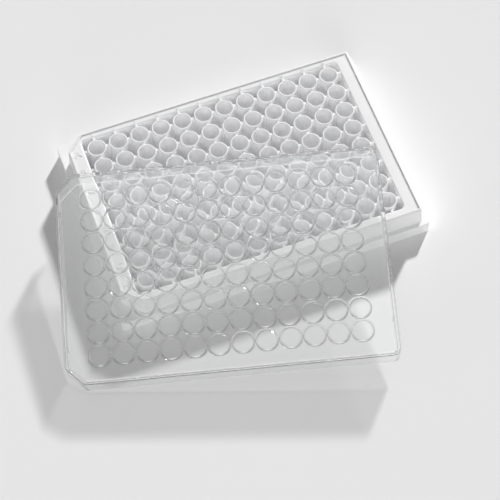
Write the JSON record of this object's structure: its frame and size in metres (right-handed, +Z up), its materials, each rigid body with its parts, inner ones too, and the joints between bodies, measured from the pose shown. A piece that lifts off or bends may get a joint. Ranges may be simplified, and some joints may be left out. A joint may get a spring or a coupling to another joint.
{
  "type": "well plate",
  "caption": "White well plate with open round wells in a webbed recess, and its clear ring-marked lid taken off and left leaning on the plate's near corner.",
  "frame": {"origin": "middle of the box round the plate and its leaning lid, on the surface the plate stands on", "axes": "+X along the plate's rows towards the highest column, +Y towards the first row, +Z up out of the wells"},
  "size_m": [0.154, 0.1372, 0.0291],
  "materials": {
    "white_polystyrene": "semi-gloss injection-moulded polystyrene, opaque white",
    "clear_polystyrene": "polished injection-moulded polystyrene, clear"
  },
  "bodies": {
    "root": {"plate": "white_polystyrene", "lid": "clear_polystyrene"}
  },
  "joints": []
}
